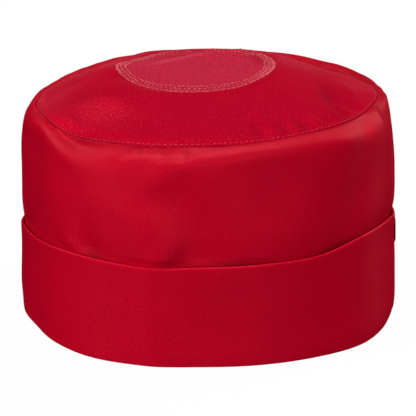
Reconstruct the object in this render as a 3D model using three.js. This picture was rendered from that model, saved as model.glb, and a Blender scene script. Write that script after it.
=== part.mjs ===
// A soft pillbox cook's cap with a turned-up cuff: round centre panel, ring-shaped top panel,
// tall side wall that rolls over at the shoulder, double cuff and a bare tab in its side seam.
// Millimetres, +Z up. The cap stands on the turn of its cuff at z = 0, its front faces -Y and
// its right side is +X. Azimuths are in degrees: 0 at the front, +90 at the right, 180 behind.
import * as THREE from 'three';

// ---- driving sizes, mm -------------------------------------------------------------------
const CLOTH = 1.2;            // one layer of twill with its seam allowances
const CUFF_CLOTH = 1.4;       // the cuff: two layers pressed together
const SEWN_GAP = 0.35;        // clearance kept between pieces that are sewn together
const TURN_IN = 4.2;          // how far the cuff turns in under the lower edge of the wall
const TURN_ROUND = 0.5;       // rounding of the cuff's lower outside corner
const DISC_RADIUS = 41;       // centre panel, out to the outside of its flat seam
const DISC_CENTRE = { x: -6.4, y: 0 };
const DISC_CROWN = 0.5;       // how far the middle of the centre panel stands over its rim
const LABEL = { from: 81.5, to: 90.5, low: 38.6, tall: 8.6, thick: 1.0 };   // tab: azimuths, heights

// ---- facets ------------------------------------------------------------------------------
const AROUND = 72;            // steps round the cap
const TOP_STEPS = 6;          // steps across the ring-shaped top panel
const DISC_AROUND = 36, DISC_STEPS = 4;
const LABEL_STEPS = 4;

// Outline and heights round the cap. plan: outside radius of the cuff. edge: height of the cuff's
// folded top edge. seam: height of the top seam. inset: seam in from the plan outline.
// rise: how far the shoulder puffs up over the seam. bow: how far the top panel bows outward.
const AROUND_TABLE = [
  { azimuth: -165, plan: 95.5, edge: 50.5, seam: 107.6, inset:  9.8, rise:  3.6, bow: 0.96 },
  { azimuth: -148, plan: 96.4, edge: 50.0, seam: 107.2, inset:  9.7, rise:  3.8, bow: 1.00 },
  { azimuth: -135, plan: 97.0, edge: 49.6, seam: 106.8, inset:  9.6, rise:  3.2, bow: 1.02 },
  { azimuth: -112, plan: 97.6, edge: 49.0, seam: 105.8, inset:  9.5, rise:  1.6, bow: 1.10 },
  { azimuth:  -90, plan: 97.2, edge: 48.6, seam: 106.4, inset:  9.4, rise: -0.4, bow: 1.20 },
  { azimuth:  -66, plan: 95.6, edge: 48.5, seam: 107.4, inset:  9.4, rise:  0.0, bow: 1.40 },
  { azimuth:  -50, plan: 97.2, edge: 50.0, seam: 107.4, inset:  9.5, rise:  0.0, bow: 1.50 },
  { azimuth:  -35, plan: 98.3, edge: 51.0, seam: 108.8, inset:  9.6, rise:  0.0, bow: 1.46 },
  { azimuth:  -18, plan: 96.0, edge: 50.3, seam: 109.1, inset:  9.6, rise:  0.0, bow: 1.32 },
  { azimuth:    0, plan: 93.1, edge: 51.2, seam: 109.5, inset:  9.6, rise:  0.0, bow: 1.28 },
  { azimuth:   18, plan: 93.8, edge: 51.8, seam: 110.5, inset:  9.8, rise:  0.0, bow: 1.28 },
  { azimuth:   34, plan: 95.8, edge: 53.2, seam: 112.2, inset: 10.0, rise:  0.0, bow: 1.24 },
  { azimuth:   50, plan: 98.6, edge: 56.8, seam: 113.8, inset: 10.3, rise:  0.0, bow: 1.18 },
  { azimuth:   66, plan: 97.6, edge: 56.6, seam: 114.5, inset: 10.8, rise:  0.0, bow: 1.16 },
  { azimuth:   84, plan: 97.0, edge: 53.8, seam: 113.5, inset: 11.0, rise: -0.6, bow: 1.14 },
  { azimuth:  100, plan: 97.8, edge: 53.0, seam: 111.0, inset: 11.0, rise:  0.3, bow: 1.12 },
  { azimuth:  120, plan: 98.0, edge: 52.6, seam: 107.8, inset: 10.5, rise:  3.2, bow: 1.08 },
  { azimuth:  140, plan: 97.0, edge: 52.2, seam: 108.2, inset: 10.2, rise:  3.8, bow: 1.06 },
  { azimuth:  155, plan: 96.2, edge: 51.6, seam: 108.0, inset: 10.1, rise:  4.6, bow: 1.04 },
  { azimuth:  172, plan: 95.2, edge: 51.0, seam: 107.8, inset: 10.0, rise:  4.0, bow: 0.98 },
];

// Side wall, outside face. level: 0 at the floor, 1 at the cuff's edge, 2 at the top seam.
// The other columns are the inset from the plan outline at each side, and rise is the share of
// the shoulder's rise that the row takes.
const WALL_TABLE = [
  { level: 0.040, left: 2.6, front: 2.6, right: 2.6, back: 2.6, rise: 0.00 },
  { level: 0.500, left: 2.1, front: 2.1, right: 2.6, back: 2.1, rise: 0.00 },
  { level: 0.970, left: 1.9, front: 2.0, right: 2.8, back: 2.0, rise: 0.00 },
  { level: 1.090, left: 1.6, front: 1.8, right: 1.0, back: 1.7, rise: 0.00 },
  { level: 1.220, left: 1.5, front: 1.5, right: 0.7, back: 1.5, rise: 0.00 },
  { level: 1.360, left: 1.5, front: 1.4, right: 1.1, back: 1.4, rise: 0.00 },
  { level: 1.550, left: 1.8, front: 1.3, right: 1.9, back: 1.5, rise: 0.00 },
  { level: 1.700, left: 1.9, front: 1.4, right: 3.1, back: 1.7, rise: 0.10 },
  { level: 1.800, left: 2.1, front: 1.8, right: 4.2, back: 2.0, rise: 0.25 },
  { level: 1.877, left: 3.2, front: 2.5, right: 4.7, back: 2.6, rise: 0.45 },
  { level: 1.944, left: 4.9, front: 4.2, right: 5.5, back: 3.7, rise: 0.75 },
  { level: 1.985, left: 6.2, front: 6.4, right: 7.2, back: 5.4, rise: 1.00 },
  { level: 2.005, left: 8.0, front: 8.3, right: 9.2, back: 7.8, rise: 0.60 },
];

// Cuff, outside face. level: 0 at the floor, 1 at its folded edge. Insets as above.
const CUFF_TABLE = [
  { level: 0.00, left:  0.20, front:  0.0, right:  0.20, back:  0.0 },
  { level: 0.12, left: -0.10, front: -0.2, right: -0.45, back: -0.2 },
  { level: 0.27, left: -0.57, front: -0.3, right: -0.30, back: -0.3 },
  { level: 0.40, left: -0.50, front: -0.3, right: -0.10, back: -0.3 },
  { level: 0.55, left: -0.20, front: -0.2, right:  0.25, back: -0.2 },
  { level: 0.70, left:  0.05, front:  0.0, right:  0.80, back:  0.0 },
  { level: 0.85, left:  0.10, front:  0.1, right:  1.10, back:  0.1 },
  { level: 1.00, left:  0.00, front:  0.1, right:  0.80, back:  0.1 },
];

// Soft dents of the wall: a positive depth is a hollow and a negative one a swelling.
const WALL_FOLDS = [
  { azimuth: -77, level: 1.12, wide:  6, tall: 0.26, depth:  0.9 },
  { azimuth: -44, level: 1.90, wide:  8, tall: 0.07, depth:  1.3 },
  { azimuth: -42, level: 1.10, wide:  6, tall: 0.16, depth:  0.6 },
  { azimuth: -21, level: 1.22, wide:  8, tall: 0.30, depth: -0.7 },
  { azimuth: -10, level: 1.12, wide:  6, tall: 0.24, depth:  1.2 },
  { azimuth:  17, level: 1.06, wide: 14, tall: 0.16, depth:  0.7 },
  { azimuth:  44, level: 1.06, wide:  9, tall: 0.18, depth:  1.0 },
  { azimuth:  60, level: 1.90, wide: 10, tall: 0.08, depth: -0.7 },
];

// Creases of the ring-shaped top panel. reach: 0 at the outer seam, 1 at the centre panel.
const TOP_FOLDS = [
  { azimuth:  46, reach: 0.34, wide: 6, long: 0.30, depth:  1.1 },
  { azimuth:  34, reach: 0.30, wide: 7, long: 0.34, depth: -0.5 },
  { azimuth: -96, reach: 0.40, wide: 9, long: 0.40, depth:  0.5 },
];

// Height of the centre panel's rim, by azimuth about the panel's own centre.
const DISC_TABLE = [
  { azimuth: -180, rim: 124.6 }, { azimuth: -135, rim: 125.4 }, { azimuth: -90, rim: 126.6 },
  { azimuth:  -55, rim: 125.4 }, { azimuth:  -20, rim: 124.1 }, { azimuth:  10, rim: 124.2 },
  { azimuth:   45, rim: 125.6 }, { azimuth:   80, rim: 127.2 }, { azimuth: 110, rim: 127.3 },
  { azimuth:  150, rim: 125.8 },
];

// ---- curves ------------------------------------------------------------------------------
// A smooth closed curve through one column of a table, by azimuth.
function roundCurve(table, column) {
  const rows = [...table].sort((a, b) => a.azimuth - b.azimuth), n = rows.length;
  const at = (k) => {
    const turn = Math.floor(k / n), row = rows[k - turn * n];
    return [row.azimuth + 360 * turn, row[column]];
  };
  return (azimuth) => {
    const first = rows[0].azimuth;
    const a = ((azimuth - first) % 360 + 360) % 360 + first;
    let i = n - 1;
    while (i > 0 && rows[i].azimuth > a) i--;
    const [a0, v0] = at(i - 1), [a1, v1] = at(i), [a2, v2] = at(i + 1), [a3, v3] = at(i + 2);
    const h = a2 - a1, u = (a - a1) / h, m1 = (v2 - v0) / (a2 - a0) * h, m2 = (v3 - v1) / (a3 - a1) * h;
    return (2 * u ** 3 - 3 * u * u + 1) * v1 + (u ** 3 - 2 * u * u + u) * m1
      + (-2 * u ** 3 + 3 * u * u) * v2 + (u ** 3 - u * u) * m2;
  };
}
const plan = roundCurve(AROUND_TABLE, 'plan');
const edge = roundCurve(AROUND_TABLE, 'edge');
const seam = roundCurve(AROUND_TABLE, 'seam');
const inset = roundCurve(AROUND_TABLE, 'inset');
const rise = roundCurve(AROUND_TABLE, 'rise');
const bow = roundCurve(AROUND_TABLE, 'bow');
const rim = roundCurve(DISC_TABLE, 'rim');

// One row's inset at an azimuth, blended between its four sides.
function sideInset(row, azimuth) {
  const s = Math.sin(THREE.MathUtils.degToRad(azimuth)), c = Math.cos(THREE.MathUtils.degToRad(azimuth));
  return s * s * (s < 0 ? row.left : row.right) + c * c * (c < 0 ? row.back : row.front);
}

const bump = (x, width) => Math.exp(-((x / width) ** 2));
const turnBetween = (a, b) => ((a - b + 540) % 360 + 360) % 360 - 180;
const wallDent = (azimuth, level) => WALL_FOLDS.reduce((sum, f) =>
  sum + f.depth * bump(turnBetween(azimuth, f.azimuth), f.wide) * bump(level - f.level, f.tall), 0);
const topDent = (azimuth, reach) => TOP_FOLDS.reduce((sum, f) =>
  sum + f.depth * bump(turnBetween(azimuth, f.azimuth), f.wide) * bump(reach - f.reach, f.long), 0);

const onRound = (azimuth, radius, height) => {
  const a = THREE.MathUtils.degToRad(azimuth);
  return new THREE.Vector3(radius * Math.sin(a), -radius * Math.cos(a), height);
};

// ---- sections, as [radius, height] up the outside -------------------------------------------
function wallSection(azimuth) {
  const p = plan(azimuth), e = edge(azimuth), s = seam(azimuth), u = rise(azimuth);
  const rows = WALL_TABLE.map((row) => [
    p - sideInset(row, azimuth) - wallDent(azimuth, row.level),
    (row.level <= 1 ? e * row.level : e + (s - e) * (row.level - 1)) + u * row.rise,
  ]);
  rows.push([p - inset(azimuth), s]);
  return rows;
}
const cuffSection = (azimuth) => CUFF_TABLE.map((row) =>
  [plan(azimuth) - sideInset(row, azimuth), edge(azimuth) * row.level]);

// The same section moved in by a thickness, square to the outline.
function inward(section, thickness) {
  return section.map((point, i) => {
    const a = section[Math.max(0, i - 1)], b = section[Math.min(section.length - 1, i + 1)];
    const dr = b[0] - a[0], dz = b[1] - a[1], length = Math.hypot(dr, dz);
    return [point[0] - thickness * dz / length, point[1] + thickness * dr / length];
  });
}

// ---- solids ------------------------------------------------------------------------------
// A ring lofted through closed sections: loop(azimuth) gives the section's corners in order,
// anticlockwise when seen with the ring's outside at the right and +Z up.
function ringSolid(steps, loop) {
  const loops = Array.from({ length: steps }, (_, i) => loop(i * 360 / steps));
  const n = loops[0].length, points = loops.flat().flatMap((v) => [v.x, v.y, v.z]), faces = [];
  for (let i = 0; i < steps; i++) {
    const j = (i + 1) % steps;
    for (let k = 0; k < n; k++) {
      const l = (k + 1) % n, a = i * n + k, b = j * n + k, c = j * n + l, d = i * n + l;
      faces.push(a, b, c, a, c, d);
    }
  }
  return toGeometry(points, faces);
}
function toGeometry(points, faces) {
  const geometry = new THREE.BufferGeometry();
  geometry.setAttribute('position', new THREE.Float32BufferAttribute(points, 3));
  geometry.setIndex(faces);
  geometry.computeVertexNormals();
  return geometry;
}

// Side wall: outside face from its lower edge to the top seam, then back down the inside.
function sideWall() {
  return ringSolid(AROUND, (azimuth) => {
    const outside = wallSection(azimuth), inside = inward(outside, CLOTH);
    inside[0] = [outside[0][0] - CLOTH, outside[0][1]];
    return [...outside, ...inside.reverse()].map(([r, z]) => onRound(azimuth, r, z));
  });
}

// Cuff: outside face, rounded fold at its top edge, inside face, and the turn-in it stands on.
function cuff() {
  return ringSolid(AROUND, (azimuth) => {
    const p = plan(azimuth), outside = cuffSection(azimuth), inside = inward(outside, CUFF_CLOTH);
    const top = outside.length - 1, [rt, zt] = outside[top], half = CUFF_CLOTH / 2;
    outside[top] = [rt, zt - half];
    inside[top] = [rt - CUFF_CLOTH, zt - half];
    const fold = [[rt - 0.3 * half, zt - 0.25 * half], [rt - half, zt], [rt - 1.7 * half, zt - 0.25 * half]];
    const foot = [[outside[0][0] - TURN_ROUND, 0], [outside[0][0], TURN_ROUND]];
    const lip = [[inside[0][0], CUFF_CLOTH], [p - TURN_IN, CUFF_CLOTH], [p - TURN_IN, 0]];
    const loop = [...foot, ...outside.slice(1), ...fold, ...inside.slice(1).reverse(), ...lip];
    return loop.map(([r, z]) => onRound(azimuth, r, z));
  });
}

// A point of the top panel's upper face. reach: 0 at the outer seam, 1 at the centre panel.
function topPoint(azimuth, reach) {
  const a = onRound(azimuth, plan(azimuth) - inset(azimuth), seam(azimuth));
  const b = onRound(azimuth, DISC_RADIUS, rim(azimuth)).add(new THREE.Vector3(DISC_CENTRE.x, DISC_CENTRE.y, 0));
  const height = a.z + (b.z - a.z) * (1 - (1 - reach) ** bow(azimuth));
  const point = new THREE.Vector3().lerpVectors(a, b, reach).setZ(height - topDent(azimuth, reach));
  return { point, inwards: b.sub(a).setZ(0).normalize() };
}

// Ring-shaped top panel, kept SEWN_GAP clear of the wall and of the centre panel.
function crownTop() {
  return ringSolid(AROUND, (azimuth) => {
    const span = topPoint(azimuth, 0).point.distanceTo(topPoint(azimuth, 1).point);
    const from = SEWN_GAP / span, to = 1 - SEWN_GAP / span, upper = [], lower = [];
    for (let k = 0; k <= TOP_STEPS; k++) {
      const reach = from + (to - from) * k / TOP_STEPS, { point, inwards } = topPoint(azimuth, reach);
      const a = topPoint(azimuth, Math.max(0, reach - 0.02)).point, b = topPoint(azimuth, Math.min(1, reach + 0.02)).point;
      const run = b.sub(a), flat = Math.hypot(run.x, run.y), length = run.length();
      const normal = inwards.clone().multiplyScalar(-run.z / length).setZ(flat / length);
      upper.push(point);
      lower.push(point.clone().addScaledVector(normal, -CLOTH));
    }
    return [...upper, ...lower.reverse()];
  });
}

// Centre panel: a shallow domed disc with its rim square to its face.
function crownDisc() {
  const middle = DISC_TABLE.reduce((sum, row) => sum + row.rim, 0) / DISC_TABLE.length + DISC_CROWN;
  const points = [], faces = [], layers = [0, -CLOTH];
  for (const drop of layers) {
    points.push(DISC_CENTRE.x, DISC_CENTRE.y, middle + drop);
    for (let k = 1; k <= DISC_STEPS; k++) {
      const share = k / DISC_STEPS;
      for (let i = 0; i < DISC_AROUND; i++) {
        const azimuth = i * 360 / DISC_AROUND;
        const v = onRound(azimuth, (DISC_RADIUS - SEWN_GAP) * share, middle + (rim(azimuth) - middle) * share ** 2 + drop);
        points.push(v.x + DISC_CENTRE.x, v.y + DISC_CENTRE.y, v.z);
      }
    }
  }
  const layer = 1 + DISC_STEPS * DISC_AROUND;
  const at = (side, k, i) => side * layer + (k === 0 ? 0 : 1 + (k - 1) * DISC_AROUND + i % DISC_AROUND);
  const face = (side, a, b, c) => faces.push(...(side === 0 ? [a, b, c] : [a, c, b]));
  for (const side of [0, 1]) {
    for (let i = 0; i < DISC_AROUND; i++) {
      face(side, at(side, 0, 0), at(side, 1, i), at(side, 1, i + 1));
      for (let k = 1; k < DISC_STEPS; k++) {
        face(side, at(side, k, i), at(side, k + 1, i), at(side, k + 1, i + 1));
        face(side, at(side, k, i), at(side, k + 1, i + 1), at(side, k, i + 1));
      }
    }
  }
  for (let i = 0; i < DISC_AROUND; i++) {
    const a = at(0, DISC_STEPS, i), b = at(0, DISC_STEPS, i + 1), c = at(1, DISC_STEPS, i), d = at(1, DISC_STEPS, i + 1);
    faces.push(a, c, d, a, d, b);
  }
  return toGeometry(points, faces);
}

// Bare tab: a thin plate that follows the cuff's outside, just clear of it.
function label() {
  const points = [], faces = [], high = LABEL.low + LABEL.tall;
  const outsideAt = (azimuth, z) => {
    const section = cuffSection(azimuth);
    let k = 1;
    while (k < section.length - 1 && section[k][1] < z) k++;
    const [r0, z0] = section[k - 1], [r1, z1] = section[k];
    return r0 + (r1 - r0) * (z - z0) / (z1 - z0);
  };
  for (let i = 0; i <= LABEL_STEPS; i++) {
    const azimuth = LABEL.from + (LABEL.to - LABEL.from) * i / LABEL_STEPS;
    const r = Math.max(outsideAt(azimuth, LABEL.low), outsideAt(azimuth, (LABEL.low + high) / 2), outsideAt(azimuth, high)) + SEWN_GAP;
    for (const [radius, z] of [[r, LABEL.low], [r + LABEL.thick, LABEL.low], [r + LABEL.thick, high], [r, high]]) {
      const v = onRound(azimuth, radius, z);
      points.push(v.x, v.y, v.z);
    }
  }
  for (let i = 0; i < LABEL_STEPS; i++) {
    for (let k = 0; k < 4; k++) {
      const l = (k + 1) % 4, a = i * 4 + k, b = (i + 1) * 4 + k, c = (i + 1) * 4 + l, d = i * 4 + l;
      faces.push(a, b, c, a, c, d);
    }
  }
  const last = LABEL_STEPS * 4;
  faces.push(0, 1, 2, 0, 2, 3, last, last + 2, last + 1, last, last + 3, last + 2);
  return toGeometry(points, faces);
}

// ---- the cap -----------------------------------------------------------------------------
const twill = (color) => new THREE.MeshStandardMaterial({ color, roughness: 0.85, metalness: 0 });
const cap = new THREE.Group();
const pieces = [
  ['side_wall', sideWall(), twill(0xb0001f)],
  ['cuff', cuff(), twill(0xac001f)],
  ['crown_top', crownTop(), twill(0xb60526)],
  ['crown_disc', crownDisc(), twill(0xbe2a3f)],
  ['label', label(), twill(0x2a1430)],
];
for (const [name, geometry, material] of pieces) {
  const mesh = new THREE.Mesh(geometry, material);
  mesh.name = name;
  cap.add(mesh);
}

// The origin is under the middle of the cap's box, on the floor.
const box = new THREE.Box3().setFromObject(cap);
cap.position.set(-(box.min.x + box.max.x) / 2, -(box.min.y + box.max.y) / 2, 0);

export default cap;
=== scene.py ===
"""A soft pillbox cook's cap in red twill, standing on the turn of its cuff.

Shapes are worked out in millimetres in the hat's own frame: azimuth 0 at the front (-Y), +90 at the
right (+X), z = 0 on the floor. They are moved by SHIFT and scaled to metres when a mesh is made.
"""
import math

import bpy
import numpy as np
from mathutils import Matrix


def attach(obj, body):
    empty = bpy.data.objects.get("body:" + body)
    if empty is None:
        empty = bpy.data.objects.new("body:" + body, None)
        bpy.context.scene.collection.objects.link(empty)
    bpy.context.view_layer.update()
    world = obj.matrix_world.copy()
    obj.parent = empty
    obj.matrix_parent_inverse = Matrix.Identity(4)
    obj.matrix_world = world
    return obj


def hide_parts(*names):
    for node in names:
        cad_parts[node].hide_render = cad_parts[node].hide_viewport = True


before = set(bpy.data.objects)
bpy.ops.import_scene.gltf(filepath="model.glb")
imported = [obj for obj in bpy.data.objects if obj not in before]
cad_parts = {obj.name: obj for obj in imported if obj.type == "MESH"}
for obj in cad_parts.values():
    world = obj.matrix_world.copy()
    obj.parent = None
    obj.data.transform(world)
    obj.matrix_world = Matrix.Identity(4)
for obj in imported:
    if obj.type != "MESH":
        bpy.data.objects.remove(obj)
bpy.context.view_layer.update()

# ==== shape ====================================================================================
SHIFT = np.array([0.00637, -0.93391, 0.0])      # the hat frame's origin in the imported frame, mm

CLOTH = 1.2             # wall and top panel, one layer with its seam allowances
CUFF_CLOTH = 1.4        # cuff, two layers pressed together
DISC_CLOTH = 0.8
TURN_IN = 4.2           # how far the cuff turns in under the wall
DISC_RADIUS = 41.0
DISC_CENTRE = np.array([-6.4, 0.0])
LABEL = dict(start=81.6, stop=90.6, low=37.0, tall=8.6, thick=0.6)

# Round the cap: azimuth, outside radius of the cuff, height of its folded edge, height of the top
# seam, seam in from the outline, bow of the top panel.
AROUND = np.array([
    (-165, 95.5, 47.4, 107.6, 9.8, 1.10), (-148, 96.2, 46.6, 107.2, 9.7, 1.30),
    (-135, 96.8, 44.4, 106.8, 9.6, 1.36), (-112, 97.4, 41.4, 105.8, 9.5, 1.30),
    (-90, 97.0, 44.2, 106.4, 9.4, 1.20), (-78, 95.7, 46.7, 107.0, 9.3, 1.30),
    (-66, 95.6, 48.1, 107.4, 9.4, 1.40), (-50, 97.2, 50.6, 107.4, 9.5, 1.50),
    (-35, 98.3, 51.7, 108.8, 9.6, 1.46), (-18, 96.0, 50.7, 109.1, 9.6, 1.32),
    (0, 93.1, 51.3, 109.5, 9.6, 1.28), (18, 93.8, 51.8, 110.5, 9.8, 1.28),
    (34, 95.8, 52.3, 112.2, 10.0, 1.24), (50, 98.6, 56.6, 113.8, 10.3, 1.18),
    (62, 98.0, 56.6, 114.4, 10.7, 1.16), (72, 97.2, 55.0, 114.5, 10.9, 1.15),
    (81, 97.0, 52.4, 114.0, 11.0, 1.14), (90, 97.2, 49.6, 112.8, 11.0, 1.13),
    (100, 97.8, 48.0, 111.0, 11.0, 1.12), (120, 98.0, 47.0, 108.5, 10.5, 1.08),
    (140, 97.0, 47.2, 108.2, 10.2, 1.06), (155, 96.2, 47.5, 108.0, 10.1, 1.04),
    (172, 95.2, 47.6, 107.8, 10.0, 0.98),
])

# Side wall below the shoulder: level (0 floor, 1 cuff edge, 2 top seam), inset from the outline at
# the left, front, right and back.
WALL_ROWS = [
    (0.04, 2.6, 2.6, 2.6, 2.6), (0.25, 2.3, 2.3, 2.6, 2.3), (0.50, 2.1, 2.1, 2.6, 2.1),
    (0.75, 2.0, 2.1, 2.8, 2.1), (0.97, 1.9, 2.0, 2.8, 2.0), (1.09, 1.2, 1.8, 1.0, 1.7),
    (1.22, 0.6, 1.5, 0.7, 1.5), (1.36, 0.6, 1.4, 1.1, 1.4), (1.50, 0.9, 1.3, 1.7, 1.5),
]

# Shoulder: azimuth, then drop below the seam and inset from the outline at the hollow under the seam,
# the ridge, the roll and the head of the upright wall.
SHOULDER = np.array([
    (-165, -2.2, 8.2, -3.9, 5.3, 1.0, 2.6, 11.0, 1.7), (-148, -2.4, 8.2, -4.3, 5.3, 0.8, 2.6, 11.0, 1.7),
    (-135, -1.5, 8.0, -2.6, 5.3, 1.8, 2.6, 11.0, 1.8), (-112, -0.4, 8.0, -1.0, 5.6, 3.0, 3.2, 12.0, 1.9),
    (-90, -0.8, 8.3, 2.0, 5.9, 4.9, 3.5, 16.0, 1.4), (-66, -0.2, 8.6, 1.7, 5.2, 5.8, 3.3, 14.6, 2.4),
    (-57, 0.9, 8.6, 3.6, 4.6, 6.3, 3.2, 14.6, 2.0), (-50, 2.8, 8.7, 5.3, 4.7, 7.9, 2.9, 16.9, 2.0),
    (-43, 4.0, 8.6, 7.2, 4.9, 10.6, 2.8, 20.9, 1.7), (-35, 3.4, 8.5, 8.1, 4.9, 11.5, 3.1, 22.7, 1.6),
    (-27, 2.2, 8.5, 7.0, 4.7, 10.8, 3.2, 21.8, 1.7), (-19, 1.4, 8.8, 5.2, 4.9, 9.6, 2.9, 20.0, 1.6),
    (-10, 1.1, 8.7, 4.4, 5.0, 7.9, 2.3, 16.9, 1.5), (0, 0.6, 8.4, 2.8, 4.9, 6.4, 2.6, 13.8, 1.5),
    (10, 0.1, 8.5, 2.0, 4.8, 5.1, 2.6, 12.6, 1.8), (22, 0.0, 8.9, 2.1, 4.9, 5.1, 2.8, 12.2, 1.9),
    (32, 0.2, 9.4, 3.0, 4.9, 5.8, 3.0, 12.8, 1.9), (42, 1.0, 9.1, 4.0, 4.1, 6.3, 2.7, 12.8, 1.9),
    (51, 1.5, 8.8, 5.8, 3.9, 8.4, 2.5, 13.1, 2.0), (60, 1.7, 8.7, 7.4, 3.9, 12.4, 2.7, 16.6, 2.3),
    (68, 1.3, 8.8, 5.6, 5.5, 10.1, 4.1, 15.5, 2.8), (76, 1.7, 9.1, 3.9, 6.7, 8.5, 5.0, 16.1, 3.3),
    (84, 1.2, 9.2, 2.3, 6.7, 6.7, 5.4, 15.2, 3.8), (100, 0.5, 9.2, 0.9, 6.6, 5.0, 4.6, 13.0, 3.4),
    (120, -1.3, 9.0, -2.6, 6.0, 2.0, 3.0, 11.0, 2.0), (140, -2.2, 8.8, -4.0, 5.6, 1.0, 2.8, 11.0, 1.8),
    (155, -2.6, 8.6, -4.9, 5.6, 0.6, 2.7, 11.0, 1.7), (172, -2.2, 8.4, -4.0, 5.4, 1.0, 2.6, 11.0, 1.7),
])

# Cuff, outside face: level (0 floor, 1 folded edge), inset at the left, front, right and back.
CUFF_ROWS = [
    (0.00, 0.20, 0.0, -0.10, 0.0), (0.12, -0.10, -0.2, -0.75, -0.2), (0.27, -0.57, -0.3, -0.65, -0.3),
    (0.40, -0.50, -0.3, -0.40, -0.3), (0.55, -0.20, -0.2, -0.15, -0.2), (0.70, 0.05, 0.0, 0.25, 0.0),
    (0.85, 0.10, 0.1, 0.45, 0.1), (1.00, 0.00, 0.1, 0.30, 0.1),
]

DISC_RIM = np.array([
    (-163, 124.6), (-151, 123.7), (-139, 123.0), (-124, 123.1), (-108, 124.4), (-93, 126.2), (-80, 126.8),
    (-71, 126.6), (-59, 125.4), (-42, 124.2), (-25, 123.7), (-7, 123.7), (8, 123.9), (25, 124.3), (42, 125.3),
    (54, 126.4), (70, 127.1), (88, 127.0), (104, 127.0), (118, 127.0), (132, 126.9), (142, 127.0), (154, 126.0), (172, 125.2),
])

# Base of the cuff: azimuth, how far it flares out at the floor.
FLARE = np.array([
    (-165, 0.4), (-110, 0.3), (-88, 0.2), (-78, 1.1), (-66, 0.3), (-55, 0.9), (-42, 1.1), (-20, 0.7), (0, 0.6), (30, 1.0), (45, 1.3), (60, 0.9), (74, 0.0), (88, 0.0), (110, 0.3),
])

# Folds of the wall: azimuth, distance down the cloth from its top edge, half width in degrees, half
# length in mm, lean in degrees per mm down, depth (a hollow is positive).
WALL_FOLDS = [
    (-74.7, 44.8, 11.0, 39.3, -0.25, 1.8), (-67.5, 1.8, 11.6, 9.5, -0.45, -2.2), (-43.4, 57.4, 4.1, 6.4, 0.20, -1.3),
    (-36.3, 64.1, 5.2, 20.6, 0.09, 3.0), (-19.6, 5.4, 8.2, 5.8, 0.50, 0.3), (-18.3, 38.4, 8.1, 10.5, 0.38, -1.2),
    (-15.7, 54.0, 8.2, 19.0, -0.02, -2.4), (-14.7, 19.3, 5.7, 7.0, -0.07, -1.0), (-14.7, 61.8, 4.6, 13.0, -0.27, -1.5),
    (-11.4, 30.7, 9.3, 39.0, 0.28, 1.6), (10.8, 68.5, 7.5, 4.8, 0.04, 1.8), (18.2, 26.8, 14.0, 20.0, 0.20, 1.3),
    (47.8, 45.4, 5.9, 42.0, -0.17, 2.1), (56.8, 3.3, 4.0, 9.7, -0.40, 0.4), (62.7, 12.8, 7.5, 14.9, 0.04, -1.8),
    (71.5, 6.5, 4.5, 7.5, -0.25, 1.1),
    # small puckers under the seam, and the crease at the right
    (-25.0, 5.0, 1.5, 4.0, -0.60, 0.7), (-14.0, 5.0, 1.5, 4.0, 0.00, 0.4), (-7.4, 5.5, 1.5, 4.0, 0.00, 0.5),
    (65.3, 7.0, 1.4, 8.0, -0.25, -0.8), (-88, 60.0, 7.0, 10.0, 0.00, -0.6),
    # behind
    (128, 42, 8, 18, 0.15, 1.9), (116, 34, 6, 14, -0.30, -1.3), (152, 50, 7, 18, -0.20, -1.6), (172, 36, 8, 16, 0.20, 1.7), (-166, 55, 6, 16, 0.25, -1.5),
    (-140, 44, 8, 20, -0.22, 1.9), (-118, 58, 6, 16, 0.30, 1.4), (140, 62, 5, 10, 0.20, 1.3),
]

# Painted shade where the wall's folds pinch shut, and painted light where the share is below nought: as above, with the
# share of light lost.
WALL_PAINTED_LIGHT_AND_SHADE = [
    (-77, 62, 3.0, 9, 0.0, 0.16), (-37, 66, 2.6, 7, 0.1, 0.16), (-10.5, 60, 3.4, 9, -0.2, 0.15), (-48, 7, 9.0, 4.0, 0.5, 0.05), (65.3, 6.0, 0.9, 6, -0.25, -0.20), (3, 1.5, 9.0, 4.0, 0.0, 0.17), (-40, 3, 7.0, 4.0, 0.0, 0.09), (-22, 7.5, 8.0, 2.5, 0.3, -0.03), (-21.5, 3.0, 1.1, 2.5, 0.0, 0.10), (-14.0, 3.5, 1.0, 2.5, 0.0, 0.07), (-6.2, 3.2, 2.4, 3.0, 0.0, 0.15), (-17, 4.5, 5.0, 3.5, 0.0, -0.10), (-68, 1.5, 14.0, 2.5, 0.0, -0.16), (-80, 2.5, 6.0, 3.0, 0.0, -0.22), (-14, 7.0, 8.0, 2.2, 0.0, 0.06), (-2, 0.4, 13.0, 1.0, 0.0, -0.16), (-96, 1.2, 16.0, 2.0, 0.0, -0.40), (-79, 0.8, 9.0, 1.2, 0.0, -0.30), (74, 0.8, 12.0, 1.3, 0.0, -0.28),
    # behind
    (128, 34, 5.0, 22, 0.15, 0.09), (172, 30, 5.0, 18, 0.20, 0.08), (-140, 36, 5.0, 24, -0.22, 0.09), (-118, 60, 4.0, 12, 0.30, 0.08), (152, 50, 4.0, 14, -0.20, -0.06), (-166, 55, 4.0, 12, 0.25, -0.06), (140, 64, 3.0, 8, 0.20, 0.10), (71.5, 6, 5.0, 7, -0.2, 0.19), (57.0, 10.8, 3.2, 3.4, 0.1, -0.24),
]

# Painted sheen on the rolled shoulder, where it catches the light: as above, with the share of painted sheen.
WALL_PAINTED_SHEEN = [
    (-21, 4.8, 11.0, 3.0, 0.0, 0.10), (12, 4.8, 26.0, 3.0, 0.0, 0.06), (-48, 6.0, 12.0, 3.0, 0.3, 0.04),
]

# Painted shadow on the wall above the cuff's edge, where it stands off behind the cuff, and painted light where it lies
# close to it (below nought): azimuth, half width in degrees, reach above the edge in mm, share of light lost.
GAP_PAINTED_LIGHT_AND_SHADE = [
    (42, 9.0, 3.0, 0.46), (-35.0, 4.0, 4.0, 0.32), (10, 11.0, 3.0, 0.26), (-17, 5.0, 2.5, -0.42), (-86, 8.0, 3.0, -0.30),
]

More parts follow.
